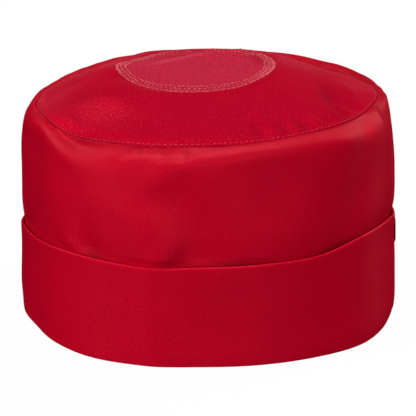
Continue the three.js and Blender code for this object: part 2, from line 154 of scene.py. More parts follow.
# Folds of the top panel: x, y, half length, half width, direction of the length in degrees from +X,
# height (a ridge is positive).
TOP_FOLDS = [
    (-62.1, -42.5, 25.8, 8.2, 160, 1.8), (-59.6, -49.6, 9.0, 1.7, 130, -0.8), (-47.6, -58.4, 11.8, 5.9, 150, -1.2),
    (-21.0, -71.2, 8.6, 3.0, 163, -0.35), (-51.8, -15.9, 19.1, 8.2, 157, -0.3), (58.5, -20.0, 24.0, 7.0, 88, -2.0),
    (70.8, -18.4, 15.6, 3.6, 100, 1.2), (25.3, -72.2, 11.4, 4.4, 111, -1.4), (38.2, -70.4, 5.5, 2.3, 120, -1.15),
    (45.5, -65.5, 6.0, 1.8, 124, -0.95), (55.5, -57.5, 6.5, 1.7, 130, -0.9), (66.0, -47.1, 5.5, 3.0, 140, -0.7),
    (71.6, -40.9, 8.7, 4.5, 131, -1.2), (29.2, -71.5, 6.0, 3.6, 104, 1.3), (41.1, -67.5, 6.0, 1.9, 114, 0.95),
    (51.0, -61.5, 7.5, 2.3, 121, 1.25), (-6.9, -78.5, 34.6, 12.8, -3.5, 1.8), (15.7, -30.4, 37.8, 18.2, 30, -0.9),
    (-59.3, -62.8, 22.9, 4.9, 134, -1.7), (-48.8, -39.5, 16.0, 10.9, 142, 1.3), (-55.8, -66.5, 22.9, 5.6, 137, -1.7),
    (47.8, 17.4, 32.0, 10.4, -1.6, 1.6), (-70.4, 18.7, 31.7, 13.4, 148, 1.6),
    (60.3, -28.0, 18.0, 3.8, 97, -1.1), (56.0, -31.0, 13.0, 1.6, 99, 0.3), (62.0, -51.5, 8.0, 1.3, 117, 0.4), (66.0, -50.0, 8.0, 2.5, 112, -0.5),
    # behind
    (30, 62, 16, 4.5, 60, -0.9), (-22, 66, 15, 4.0, 105, 0.8), (-58, 46, 14, 4.5, 150, -0.4), (62, 40, 14, 4.0, 30, 0.7), (-36, 45, 22, 8, 28, 1.8), (33, 40, 18, 8, 138, 1.6), (-44, -34, 24, 12, 145, 1.4),
]

# Painted shade where the top's folds pinch, and painted light on its ridges (below nought): as above, with the share of
# light lost.
TOP_PAINTED_LIGHT_AND_SHADE = [
    (58.2, -29.0, 15.0, 2.0, 98, 0.12), (59.5, -27.0, 18.0, 8.0, 97, 0.12), (65.5, -50.5, 8.0, 1.8, 115, 0.12),
    (62.1, -51.5, 8.0, 0.9, 117, -0.04), (-57.0, -34.5, 20.0, 6.0, 151, 0.12), (-46.0, -51.5, 9.0, 4.0, 140, -0.09), (28.5, -73.5, 6.0, 2.0, 104, -0.06), (39.5, -68.5, 6.0, 1.8, 114, -0.06),
    (51.0, -63.0, 6.0, 1.8, 121, -0.05), (22.1, -75.5, 6.0, 1.6, 100, 0.06), (35.6, -71.5, 6.0, 1.6, 112, 0.06), (45.5, -66.5, 6.0, 1.9, 120, 0.07), (55.2, -60.5, 6.0, 1.6, 120, 0.06),
    (63.0, -54.5, 7.0, 4.0, 125, 0.10), (-64.5, -48.0, 8.0, 1.5, 128, 0.14), (-85.5, 4.0, 18.0, 2.5, 97, -0.14), (-52.0, -47.0, 16.0, 9.0, 142, -0.09), (-68.5, -51.0, 10.0, 3.5, 128, -0.08), (-38.0, -62.0, 9.0, 1.5, 160, 0.07), (-28.0, -70.5, 10.0, 1.5, 174, 0.06),
]

# Painted sheen and highlights on the top: as above, with the share of painted sheen.
TOP_PAINTED_SHEEN = [
    (-44.0, 38.0, 24.0, 10.0, 32, 0.10), (-60.0, 12.0, 16.0, 8.0, 160, 0.07), (45.0, 12.0, 15.0, 8.0, 0, 0.19), (44.0, 38.0, 24.0, 10.0, 145, 0.06), (-78.0, -12.0, 14.0, 8.0, 100, 0.08), (-85.5, 4.0, 16.0, 2.5, 97, 0.10), (-53.0, -50.0, 17.0, 8.0, 142, 0.06),
]

# Waves of the centre panel: x, y, half length, half width, direction, height.
DISC_FOLDS = [
    (-21.5, 12.0, 11.0, 2.0, 38, 1.3), (-6.5, 24.0, 10.0, 2.0, 44, 1.2), (-20.0, 15.0, 13.0, 7.0, 38, 0.8), (-8.0, 27.0, 9.0, 5.0, 44, 0.4), (27.0, 9.0, 14.0, 2.4, 105, 2.4),
    (-2.5, 31.5, 4.0, 2.4, 60, -0.6), (13.0, 25.0, 10.0, 2.2, -32, 0.4), (18.0, 19.0, 9.0, 2.0, -38, -0.35), (4.0, 4.0, 20.0, 9.0, 20, -0.5), (-6.4, -33.5, 24.0, 8.0, 0, 1.4),
]

# Painted light on the centre panel's wave crests (below nought), and painted shade where its waves and the raised band
# lie in shade: as above, with the share of light lost.
DISC_PAINTED_LIGHT_AND_SHADE = [
    (-21.3, 11.6, 11.0, 1.5, 38, -0.04), (-6.3, 23.6, 10.0, 1.5, 44, -0.04), (-20.0, 22.0, 12.0, 5.0, 36, 0.13), (-33.0, 12.0, 8.0, 1.2, 62, -0.03),
    (13.0, 25.0, 9.0, 1.6, -32, -0.07), (18.0, 20.0, 9.0, 1.8, -38, 0.07), (25.0, 11.0, 13.0, 1.9, 108, 0.24),
]

# Painted sheen on the centre panel's wave crests and band: as above, with the share of painted sheen.
DISC_PAINTED_SHEEN = [
    (-21.3, 11.6, 12.0, 1.8, 38, 0.40), (-6.3, 23.6, 11.0, 1.8, 44, 0.38), (-37.0, 26.0, 14.0, 3.0, 53, 0.60), (-27.0, 34.5, 10.0, 3.0, 38, 0.55), (30.5, 10.0, 14.0, 2.2, 103, 0.20),
]

# Painted shade where the cuff lies in shade: azimuth, height, half width in degrees, half height in mm, share of light
# lost.
CUFF_PAINTED_SHADE = [
    (1, 30, 8.0, 12, 0.09), (-34, 24, 9.0, 22, 0.05), (10, 40, 9.0, 8, 0.08),
]

# Folds of the cuff: azimuth, height, half width in degrees, half height in mm, stand (out is positive).
CUFF_FOLDS = [
    (-16, 24, 5.0, 34, 0.9), (-4, 24, 6.0, 30, -0.3), (14, 30, 9.0, 20, 0.25), (-62, 24, 8.0, 22, -0.3), (48, 26, 8.0, 20, 0.35),
    (82, 24, 0.55, 60, 0.35), (118, 24, 9.0, 22, -0.5), (140, 30, 6.0, 22, 0.4), (162, 28, 7.0, 24, 0.7), (-178, 22, 7.0, 22, -0.4), (-150, 22, 9.0, 22, -0.5), (-112, 26, 8.0, 24, 0.4),
]


def closed_curve(azimuths, values):
    """A smooth closed curve through values at azimuths, in degrees."""
    order = np.argsort(azimuths)
    a, v = np.asarray(azimuths, float)[order], np.asarray(values, float)[order]
    a = np.concatenate([[a[-1] - 360], a, [a[0] + 360, a[1] + 360]])
    v = np.concatenate([[v[-1]], v, [v[0], v[1]]])

    def at(azimuth):
        x = (np.asarray(azimuth, float) - a[1]) % 360 + a[1]
        i = np.clip(np.searchsorted(a, x, side="right") - 1, 1, len(a) - 3)
        h = a[i + 1] - a[i]
        u = (x - a[i]) / h
        m1 = (v[i + 1] - v[i - 1]) / (a[i + 1] - a[i - 1]) * h
        m2 = (v[i + 2] - v[i]) / (a[i + 2] - a[i]) * h
        return ((2 * u**3 - 3 * u * u + 1) * v[i] + (u**3 - 2 * u * u + u) * m1
                + (-2 * u**3 + 3 * u * u) * v[i + 1] + (u**3 - u * u) * m2)
    return at


plan, edge, seam, inset, bow = (closed_curve(AROUND[:, 0], AROUND[:, k]) for k in range(1, 6))
shoulder = [closed_curve(SHOULDER[:, 0], SHOULDER[:, k]) for k in range(1, 9)]
rim = closed_curve(DISC_RIM[:, 0], DISC_RIM[:, 1])
flare = closed_curve(FLARE[:, 0], FLARE[:, 1])


def side_inset(row, azimuth):
    s, c = np.sin(np.radians(azimuth)), np.cos(np.radians(azimuth))
    return s * s * np.where(s < 0, row[1], row[3]) + c * c * np.where(c < 0, row[4], row[2])


def bump(x, width):
    return np.exp(-((x / width) ** 2))


def turn(a, b):
    return (a - b + 180) % 360 - 180


def spots(azimuth, place, rows):
    """Sum of soft marks on a surface that is read by azimuth and a distance: the columns of the wall's tables."""
    total = 0 * place
    for at, middle, wide, long, lean, amount in rows:
        total = total + amount * bump(turn(azimuth, at + lean * (place - middle)), wide) * bump(place - middle, long)
    return total


def on_round(azimuth, radius, height):
    a = np.radians(azimuth)
    return np.stack([radius * np.sin(a), -radius * np.cos(a), height], -1)


def cubic_noise(seed, around, along, u, v):
    """Smooth noise, mean 0 and about 1 tall, on u in 0..1 that closes on itself and v in 0..1."""
    g = np.random.default_rng(seed).standard_normal((around, along + 4))
    x, y = (u % 1.0) * around, np.clip(v, 0, 1) * along
    i, j = np.floor(x).astype(int), np.minimum(np.floor(y).astype(int), along - 1)
    fx, fy = x - i, y - j

    def weights(f):
        return ((1 - f) ** 3 / 6, (3 * f**3 - 6 * f * f + 4) / 6, (-3 * f**3 + 3 * f * f + 3 * f + 1) / 6, f**3 / 6)
    wx, wy = weights(fx), weights(fy)
    total = 0
    for a in range(4):
        for b in range(4):
            total = total + wx[a] * wy[b] * g[(i + a - 1) % around, j + b]
    return total * 1.6


def through(points, steps):
    """Curves through control points: points is (n, k, 2), steps gives the rows in each of the k-1 spans."""
    first, last = 2 * points[:, :1] - points[:, 1:2], 2 * points[:, -1:] - points[:, -2:-1]
    p = np.concatenate([first, points, last], 1)
    rows = []
    for s, count in enumerate(steps):
        p0, p1, p2, p3 = (p[:, s + k] for k in range(4))
        t = [np.zeros(len(p))]
        for a, b in ((p0, p1), (p1, p2), (p2, p3)):
            t.append(t[-1] + np.sqrt(np.linalg.norm(b - a, axis=-1)))
        t0, t1, t2, t3 = (x[:, None] for x in t)
        for k in range(count):
            x = t1 + (t2 - t1) * k / count
            a1 = ((t1 - x) * p0 + (x - t0) * p1) / (t1 - t0)
            a2 = ((t2 - x) * p1 + (x - t1) * p2) / (t2 - t1)
            a3 = ((t3 - x) * p2 + (x - t2) * p3) / (t3 - t2)
            b1 = ((t2 - x) * a1 + (x - t0) * a2) / (t2 - t0)
            b2 = ((t3 - x) * a2 + (x - t1) * a3) / (t3 - t1)
            rows.append(((t2 - x) * b1 + (x - t1) * b2) / (t2 - t1))
    rows.append(points[:, -1])
    return np.stack(rows, 1)


def grid_normals(p, closed=True):
    """Unit normals of a grid of points, (n round, m along, 3), pointing away from the cap."""
    if closed:
        du = np.roll(p, -1, 0) - np.roll(p, 1, 0)
    else:
        du = np.gradient(p, axis=0)
    dv = np.gradient(p, axis=1)
    n = np.cross(du, dv)
    return n / np.maximum(np.linalg.norm(n, axis=-1, keepdims=True), 1e-9)


def lengths(p):
    """Length along each row of a grid, from its first point."""
    step = np.linalg.norm(np.diff(p, axis=1), axis=-1)
    return np.concatenate([np.zeros((len(p), 1)), np.cumsum(step, 1)], 1)


# ---- side wall
WALL_AROUND = 640
WALL_STEPS = [4, 4, 4, 4, 6, 6, 6, 6, 10, 8, 6, 6, 3, 3]


def wall_surface(azimuth):
    """Outside face of the wall as (n, rows, 3) from its lower edge to under the top seam."""
    p, e, s, i = plan(azimuth), edge(azimuth), seam(azimuth), inset(azimuth)
    controls = []
    for row in WALL_ROWS:
        level = row[0]
        z = e * level if level <= 1 else e + (s - e) * (level - 1)
        controls.append(np.stack([p - side_inset(row, azimuth), z], -1))
    d1, i1, d2, i2, d3, i3, d4, i4 = (f(azimuth) for f in shoulder)
    for d, k in ((d4, i4), (d3, i3), (d2, i2), (d1, i1)):
        controls.append(np.stack([p - k, s - d], -1))
    flush = bump(turn(azimuth, -84), 34)                 # at the left the wall comes up level with the seam
    controls.append(np.stack([p - i + 0.5, s - 0.45 + 0.40 * flush - 0.10 * np.clip(d1, 0, 4)], -1))
    controls.append(np.stack([p - i - 0.4, s - 1.1 - 0.10 * np.clip(d1, 0, 4)], -1))
    section = through(np.stack(controls, 1), WALL_STEPS)
    base = on_round(azimuth[:, None] + 0 * section[..., 0], section[..., 0], section[..., 1])
    down = lengths(base)
    down = down[:, -1:] - down                          # along the cloth, from the hidden top edge
    az, z = azimuth[:, None] + 0 * section[..., 0], section[..., 1]
    open_wall = np.clip((z - edge(az) + 2.0) / 6, 0, 1)   # the cuff holds the wall flat behind it
    dent = spots(az, down, WALL_FOLDS) * open_wall
    swell = 0.28 * cubic_noise(11, 22, 5, az / 360, z / 115) + 0.16 * cubic_noise(12, 46, 9, az / 360, z / 115)
    pucker = cubic_noise(13, 96, 3, az / 360, down / 40) * np.exp(-((down - 4) / 4.5) ** 2)
    lift = -dent + swell * open_wall + 0.22 * pucker
    fade = np.clip((down - 1.0) / 3.0, 0, 1)
    return base + grid_normals(base) * (lift * fade)[..., None]


def wall_painted_light_and_shade(azimuth, p):
    """Painted shade on the wall, as the share of light taken out of its colour in pinched folds, under the top seam and
    behind the cuff's edge; below nought it is painted light.
    """
    down = lengths(p)
    down = down[:, -1:] - down
    az = azimuth[:, None] + 0 * down
    over = p[..., 2] - edge(az)
    # painted shadow along the cuff's edge, deeper where the wall stands off behind it
    gap = 0.12 + 0.12 * bump(turn(az, 14), 20)
    for at, wide, tall, share in GAP_PAINTED_LIGHT_AND_SHADE:
        gap = gap + share * bump(turn(az, at), wide) * bump(over, tall) * np.exp(np.maximum(over, 0) / 1.8)
    dark = spots(az, down, WALL_PAINTED_LIGHT_AND_SHADE) * np.clip(over / 2, 0, 1)
    # the last term is painted shade in the groove under the top seam
    return dark + gap * np.exp(-np.maximum(over, 0) / 1.8) + (0.05 + 0.16 * bump(turn(az, 52), 6)) * np.exp(-((down - 1.2) / 0.8) ** 2)


# ---- cuff
CUFF_AROUND = 640


def cuff_outside(azimuth, levels):
    rows = np.array(CUFF_ROWS)
    controls = np.stack([np.stack([plan(azimuth) - side_inset(row, azimuth), edge(azimuth) * row[0]], -1) for row in rows], 1)
    dense = through(controls, [6] * (len(rows) - 1))
    z = dense[..., 1] / edge(azimuth)[:, None]
    r = np.stack([np.interp(levels, z[k], dense[k, :, 0]) for k in range(len(azimuth))])
    r = r + flare(azimuth)[:, None] * bump(levels, 0.25)
    height = edge(azimuth)[:, None] * levels
    for at, middle, wide, tall, out in CUFF_FOLDS:
        r = r + out * bump(turn(azimuth[:, None], at), wide) * bump(height - middle, tall)
    return r


# ---- top panel
TOP_AROUND = 640
TOP_CLOTH = 0.5         # the top panel's single layer, seen at its seam edge
STITCH_IN = 0.70        # row of stitches in from the seam


def top_surface(azimuth, reach):
    """Upper face of the ring-shaped top panel: reach 0 at the outer seam, 1 at the centre panel."""
    a = on_round(azimuth, plan(azimuth) - inset(azimuth), seam(azimuth))[:, None]
    b = on_round(azimuth, DISC_RADIUS + 0 * azimuth, rim(azimuth))[:, None] + np.array([*DISC_CENTRE, 0])
    t = reach[None, :, None]
    p = a + (b - a) * t
    power = bow(azimuth)[:, None]
    p[..., 2] = a[..., 2] + (b[..., 2] - a[..., 2]) * (1 - np.maximum(1 - reach[None], 0) ** power)
    return p


def add_folds(p, folds):
    """Height that folds add at points p: each is x, y, half length, half width, direction, height."""
    total = 0 * p[..., 0]
    for x, y, long, wide, direction, height in folds:
        c, s = math.cos(math.radians(direction)), math.sin(math.radians(direction))
        dx, dy = p[..., 0] - x, p[..., 1] - y
        total = total + height * bump(dx * c + dy * s, long) * bump(-dx * s + dy * c, wide)
    return total


def top_detail(azimuth, p, reach):
    """Height added to the top panel: folds, the pressed seam edge and soft unevenness."""
    span = lengths(p)
    from_seam, from_disc = span, span[:, -1:] - span
    az = azimuth[:, None] + 0 * span
    h = add_folds(p, TOP_FOLDS)
    h = h + 0.20 * cubic_noise(21, 26, 4, az / 360, reach[None] + 0 * az) + 0.10 * cubic_noise(22, 60, 8, az / 360, reach[None] + 0 * az)
    h = h * np.clip(from_seam / 3, 0, 1) * np.clip(from_disc / 4, 0, 1)
    h = h + 0.16 * cubic_noise(23, 84, 2, az / 360, from_seam / 30) * np.exp(-((from_seam - 5) / 4.0) ** 2)
    h = h - (0.25 - 0.20 * bump(turn(az, -75), 22)) * np.exp(-((from_seam / 0.5) ** 2)) - 0.06 * np.exp(-((from_seam - STITCH_IN) / 0.4) ** 2)
    return h


# ---- centre panel
BAND = (35.0, 41.0)     # the flat seam that joins the centre panel, inner and outer radius


def disc_height(azimuth, radius):
    """Upper face of the centre panel at azimuth and radius about its own centre."""
    middle = DISC_RIM[:, 1].mean()
    share = radius / DISC_RADIUS
    z = middle + (rim(azimuth) - middle) * share**2
    xy = np.stack([DISC_CENTRE[0] + radius * np.sin(np.radians(azimuth)), DISC_CENTRE[1] - radius * np.cos(np.radians(azimuth))], -1)
    z = z + add_folds(xy, DISC_FOLDS) * np.clip((39.0 - radius) / 6, 0, 1)
    band = 1 / (1 + np.exp(-(radius - BAND[0]) / 0.25))
    return z + band * 0.25
# ==== end of shape =============================================================================


# ---- meshes -----------------------------------------------------------------------------------
def make_mesh(name, points, quads, uv, values=None):
    """A smooth mesh object from points in mm (hat frame), quads of point numbers and a uv for each corner, in mm."""
    mesh = bpy.data.meshes.new(name)
    points = (np.asarray(points, float).reshape(-1, 3) + SHIFT) * 0.001
    quads = np.asarray(quads, int)
    mesh.vertices.add(len(points))
    mesh.vertices.foreach_set("co", points.astype(np.float32).ravel())
    mesh.loops.add(quads.size)
    mesh.loops.foreach_set("vertex_index", quads.astype(np.int32).ravel())
    mesh.polygons.add(len(quads))
    mesh.polygons.foreach_set("loop_start", np.arange(0, quads.size, quads.shape[1], dtype=np.int32))
    mesh.update(calc_edges=True)
    layer = mesh.uv_layers.new(name="cloth")
    layer.data.foreach_set("uv", (np.asarray(uv, float).reshape(-1, 2) * 0.001).astype(np.float32).ravel())
    for key, value in (values or {}).items():
        attribute = mesh.attributes.new(key, "FLOAT", "POINT")
        attribute.data.foreach_set("value", np.asarray(value, np.float32).ravel())
    mesh.polygons.foreach_set("use_smooth", np.ones(len(quads), bool))
    mesh.validate()
    mesh.update()
    obj = bpy.data.objects.new(name, mesh)
    bpy.context.scene.collection.objects.link(obj)
    return obj


def ring_object(name, loops, u, v, values=None):
    """A closed ring from section loops (n, k, 3), anticlockwise with the outside at the right; u (n+1,) and v (n, k+1) in mm."""
    n, k = loops.shape[:2]
    i, j = np.meshgrid(np.arange(n), np.arange(k), indexing="ij")
    i2, j2 = (i + 1) % n, (j + 1) % k
    quads = np.stack([i * k + j, i2 * k + j, i2 * k + j2, i * k + j2], -1).reshape(-1, 4)
    vn = np.concatenate([v, v[:1]], 0)
    corner = [(u[i], vn[i, j]), (u[i + 1], vn[i + 1, j]), (u[i + 1], vn[i + 1, j + 1]), (u[i], vn[i, j + 1])]
    uv = np.stack([np.stack(c, -1) for c in corner], 2).reshape(-1, 2)
    return make_mesh(name, loops.reshape(-1, 3), quads, uv, values)


def loop_v(loops):
    closed = np.concatenate([loops, loops[:, :1]], 1)
    v = lengths(closed)
    return v


def thicken(outside, thickness, every, cap=4):
    """Section loops of a shell: the outside face, a rounded end, the inside face in wider steps, and a rounded end."""
    n = grid_normals(outside)
    inside = outside - thickness * n
    rows = outside.shape[1]
    keep = sorted(set(list(range(0, rows, every)) + [rows - 1]))

    def end(k, other):
        along = outside[:, k] - outside[:, other]
        along = along / np.linalg.norm(along, axis=-1, keepdims=True)
        middle = (outside[:, k] + inside[:, k]) / 2
        half = (outside[:, k] - inside[:, k]) / 2
        out = []
        for c in range(1, cap):
            a = math.pi * c / cap
            out.append(middle + half * math.cos(a) + along * (thickness / 2) * math.sin(a))
        return np.stack(out, 1)
    top, bottom = end(rows - 1, rows - 2), end(0, 1)[:, ::-1]
    return np.concatenate([outside, top, inside[:, keep][:, ::-1], bottom], 1)


def build_wall():
    az = np.arange(WALL_AROUND) * 360 / WALL_AROUND - 180
    outside = wall_surface(az)
    loops = thicken(outside, CLOTH, 4)
    v = loop_v(loops)
    u = np.arange(WALL_AROUND + 1) * 2 * math.pi * 95.5 / WALL_AROUND
    # painted shade and light for the wall's outside face, and painted sheen on its shoulder
    painted_light_and_shade, painted_sheen = np.zeros(loops.shape[:2]), np.zeros(loops.shape[:2])
    painted_light_and_shade[:, :outside.shape[1]] = wall_painted_light_and_shade(az, outside)
    down = lengths(outside)
    # painted sheen on the wall's shoulder
    painted_sheen[:, :outside.shape[1]] = spots(az[:, None] + 0 * down, down[:, -1:] - down, WALL_PAINTED_SHEEN)
    return ring_object("side_wall_cloth", loops, u, v, {"painted_light_and_shade": painted_light_and_shade, "painted_sheen": painted_sheen})


def build_cuff():
    az = np.arange(CUFF_AROUND) * 360 / CUFF_AROUND - 180
    e, p = edge(az), plan(az)
    half = CUFF_CLOTH / 2
    foot = 0.6
    levels = np.linspace(0, 1, 45)
    r = cuff_outside(az, levels)
    z = e[:, None] * levels[None]
    low = foot / 50.0
    lift = 0.10 * cubic_noise(31, 30, 3, az[:, None] / 360 + 0 * z, z / 60) + 0.06 * cubic_noise(32, 70, 4, az[:, None] / 360 + 0 * z, z / 60)
    r = r + lift * np.clip(z / 6, 0, 1)
    keep = levels > low
    ro, zo = r[:, keep], z[:, keep]
    zo = np.minimum(zo, e[:, None] - half)
    ri, zi = ro - CUFF_CLOTH, zo
    parts_r, parts_z = [], []
    for c in range(6):                                   # lower outside corner
        a = math.pi / 2 * c / 6
        parts_r.append(r[:, 0] - foot + foot * math.sin(a)); parts_z.append(foot - foot * math.cos(a) + 0 * e)
    for c in range(ro.shape[1]):
        parts_r.append(ro[:, c]); parts_z.append(zo[:, c])
    for c in range(1, 8):                                # folded edge
        a = math.pi * c / 8
        parts_r.append(ro[:, -1] - half + half * math.cos(a)); parts_z.append(e - half + half * math.sin(a))
    inner = list(range(ro.shape[1] - 1, 0, -3))
    for c in inner:
        parts_r.append(ri[:, c]); parts_z.append(zi[:, c])
    parts_r.append(ri[:, 0]); parts_z.append(0 * e + CUFF_CLOTH + 0.9)
    parts_r.append(ri[:, 0] - 0.3); parts_z.append(0 * e + CUFF_CLOTH)
    for c in range(0, 7):                                # end of the turn-in
        a = math.pi * c / 6
        parts_r.append(p - TURN_IN + half - half * math.sin(a)); parts_z.append(half + half * math.cos(a) + 0 * e)
    loops = on_round(az[:, None] + 0 * np.stack(parts_r, 1), np.stack(parts_r, 1), np.stack(parts_z, 1))
    u = np.arange(CUFF_AROUND + 1) * 2 * math.pi * 96.5 / CUFF_AROUND
    # painted highlight along the folded edge, where it catches the light
    fold_painted_highlight = np.clip(1 - np.abs(np.stack(parts_z, 1) - (e[:, None] - 0.3)) / 1.2, 0, 1)
    # painted shade on the cuff, from its table
    painted_light_and_shade = 0 * fold_painted_highlight
    for at, middle, wide, tall, share in CUFF_PAINTED_SHADE:
        painted_light_and_shade = painted_light_and_shade + share * bump(turn(az, at), wide)[:, None] * bump(np.stack(parts_z, 1) - middle, tall)
    return ring_object("cuff_cloth", loops, u, loop_v(loops), {"fold_painted_highlight": fold_painted_highlight, "painted_light_and_shade": painted_light_and_shade})


def build_top():
    az = np.arange(TOP_AROUND) * 360 / TOP_AROUND - 180
    reach = np.concatenate([np.linspace(0, 0.06, 11)[:-1], np.linspace(0.06, 0.24, 14)[:-1], np.linspace(0.24, 0.86, 26)[:-1], np.linspace(0.86, 1.0, 9)])
    p = top_surface(az, reach)
    h = top_detail(az, p, reach)
    p[..., 2] += h
    # a last strip goes in under the centre panel
    inward = on_round(az, 1.0 + 0 * az, 0 * az)
    strip = [p[:, -1] - inward * 0.35 * k + np.array([0, 0, -0.55 * k]) for k in (1, 2, 3)]
    outside = np.concatenate([p] + [s[:, None] for s in strip], 1)
    # the face has to run from the centre outwards for its normal to point up
    outside = outside[:, ::-1]
    n = grid_normals(outside)
    flip = np.sign(n[..., 2].mean())
    loops = thicken_up(outside, n * flip, TOP_CLOTH)
    u = np.arange(TOP_AROUND + 1) * 0.0
    return top_object("crown_top_cloth", loops)


def thicken_up(outside, n, thickness, every=3, cap=6):
    inside = outside - thickness * n
    rows = outside.shape[1]
    keep = sorted(set(list(range(0, rows, every)) + [rows - 1]))

    def end(k, other):
        along = outside[:, k] - outside[:, other]
        along = along / np.linalg.norm(along, axis=-1, keepdims=True)
        middle, half = (outside[:, k] + inside[:, k]) / 2, (outside[:, k] - inside[:, k]) / 2
        return np.stack([middle + half * math.cos(math.pi * c / cap) + along * (thickness / 2) * math.sin(math.pi * c / cap) for c in range(1, cap)], 1)
    return np.concatenate([outside, end(rows - 1, rows - 2), inside[:, keep][:, ::-1], end(0, 1)[:, ::-1]], 1)


def top_object(name, loops):
    """A ring whose cloth was cut flat: its uv are its own x and y."""
    n, k = loops.shape[:2]
    i, j = np.meshgrid(np.arange(n), np.arange(k), indexing="ij")
    i2, j2 = (i + 1) % n, (j + 1) % k
    quads = np.stack([i * k + j, i * k + j2, i2 * k + j2, i2 * k + j], -1).reshape(-1, 4)
    flat = loops.reshape(-1, 3)
    az = np.degrees(np.arctan2(flat[:, 0], -flat[:, 1]))
    from_seam = plan(az) - inset(az) - np.linalg.norm(flat[:, :2], axis=1)
    left = bump(turn(az, -48), 18)
    painted_light = 0.10 * bump(from_seam - 1.4 - 1.6 * left, 1.6 + 1.4 * left) * (bump(turn(az, -35), 55) + bump(turn(az, -63), 12))         # painted light along the seam's raised edge, where the groove lies in shade
    # painted shade and light, and painted sheen, for the top
    return make_mesh(name, flat, quads, flat[quads.ravel()][:, :2], {"painted_light_and_shade": add_folds(flat, TOP_PAINTED_LIGHT_AND_SHADE) - painted_light, "painted_sheen": add_folds(flat, TOP_PAINTED_SHEEN)})


def build_disc():
    n, rows = 360, np.concatenate([np.linspace(0.8, 34, 44), np.linspace(34.4, 36, 7), np.linspace(36.6, 40.4, 9)])
    az = np.arange(n) * 1.0 - 180
    a, r = az[:, None] + 0 * rows[None], rows[None] + 0 * az[:, None]
    z = disc_height(a, r)
    up = on_round(a, r, z) + np.array([*DISC_CENTRE, 0])
    cap, t = [], DISC_CLOTH
    for c in range(1, 6):
        s = math.pi * c / 6
        cap.append(on_round(az, 40.4 + t / 2 * math.sin(s) + 0 * az, z[:, -1] - t / 2 + t / 2 * math.cos(s)) + np.array([*DISC_CENTRE, 0]))
    down = up[:, ::4][:, ::-1] - np.array([0, 0, t])
    strip = np.concatenate([up, np.stack(cap, 1), down], 1)
    k = strip.shape[1]
    i, j = np.meshgrid(np.arange(n), np.arange(k - 1), indexing="ij")
    i2 = (i + 1) % n
    quads = np.stack([i * k + j, i * k + j + 1, i2 * k + j + 1, i2 * k + j], -1).reshape(-1, 4)
    flat = strip.reshape(-1, 3)
    first, last = np.arange(n) * k, np.arange(n) * k + k - 1
    middle = np.array([[DISC_CENTRE[0], DISC_CENTRE[1], strip[:, 0, 2].mean()], [DISC_CENTRE[0], DISC_CENTRE[1], strip[:, -1, 2].mean()]])
    flat = np.concatenate([flat, middle])
    c0, c1 = len(flat) - 2, len(flat) - 1
    # the two middles are closed with quads over pairs of steps
    even = np.arange(0, n, 2)
    fan0 = np.stack([np.full(len(even), c0), first[even], first[(even + 1) % n], first[(even + 2) % n]], -1)
    fan1 = np.stack([np.full(len(even), c1), last[(even + 2) % n], last[(even + 1) % n], last[even]], -1)
    quads = np.concatenate([quads, fan0, fan1])
    reach = np.linalg.norm(flat[:, :2] - DISC_CENTRE, axis=1)
    band_darker_rim_painted_light = 0.07 / (1 + np.exp(-(reach - BAND[0] + 0.4) / 0.3)) - 0.12 / (1 + np.exp(-(reach - 39.6) / 0.3))     # darker across the stitched band, and painted light at the rim, where its shadow line falls
    # painted shade and light, and painted sheen, for the centre panel
    return make_mesh("crown_disc_cloth", flat, quads, flat[quads.ravel()][:, :2], {"painted_light_and_shade": band_darker_rim_painted_light + add_folds(flat, DISC_PAINTED_LIGHT_AND_SHADE), "painted_sheen": add_folds(flat, DISC_PAINTED_SHEEN)})


def build_label():
    high, steps, tall = LABEL["low"] + LABEL["tall"], 14, 12
    az = np.linspace(LABEL["start"], LABEL["stop"], steps + 1)
    z = np.linspace(LABEL["low"], high, tall + 1)
    level = z[None] / edge(az)[:, None]
    rows = np.array(CUFF_ROWS)
    base = np.stack([cuff_outside(az[k:k + 1], level[k])[0] for k in range(len(az))]) + 0.12
    t = LABEL["thick"]
    edge_u, edge_v = np.linspace(-1, 1, steps + 1), np.linspace(-1, 1, tall + 1)
    puff = (1 - np.abs(edge_u[:, None]) ** 8) * (1 - np.abs(edge_v[None]) ** 8)
    outer = on_round(az[:, None] + 0 * base, base + t * (0.45 + 0.55 * puff), z[None] + 0 * base)
    inner = on_round(az[:, None] + 0 * base, base + t * 0.0 * puff, z[None] + 0 * base)
    m, k = outer.shape[:2]
    flat = np.concatenate([outer.reshape(-1, 3), inner.reshape(-1, 3)])
    quads = []
    idx = lambda s, a, b: s * m * k + a * k + b
    for a in range(m - 1):
        for b in range(k - 1):
            quads.append((idx(0, a, b), idx(0, a + 1, b), idx(0, a + 1, b + 1), idx(0, a, b + 1)))
            quads.append((idx(1, a, b), idx(1, a, b + 1), idx(1, a + 1, b + 1), idx(1, a + 1, b)))
    for a in range(m - 1):
        quads.append((idx(0, a, 0), idx(1, a, 0), idx(1, a + 1, 0), idx(0, a + 1, 0)))
        quads.append((idx(0, a, k - 1), idx(0, a + 1, k - 1), idx(1, a + 1, k - 1), idx(1, a, k - 1)))
    for b in range(k - 1):
        quads.append((idx(0, 0, b), idx(0, 0, b + 1), idx(1, 0, b + 1), idx(1, 0, b)))
        quads.append((idx(0, m - 1, b), idx(1, m - 1, b), idx(1, m - 1, b + 1), idx(0, m - 1, b + 1)))
    quads = np.array(quads)
    uv = np.stack([np.radians(np.repeat(az, k)) * 97, np.tile(z, m)], -1)
    uv = np.concatenate([uv, uv])
    return make_mesh("label_tab", flat, quads, uv[quads.ravel()])


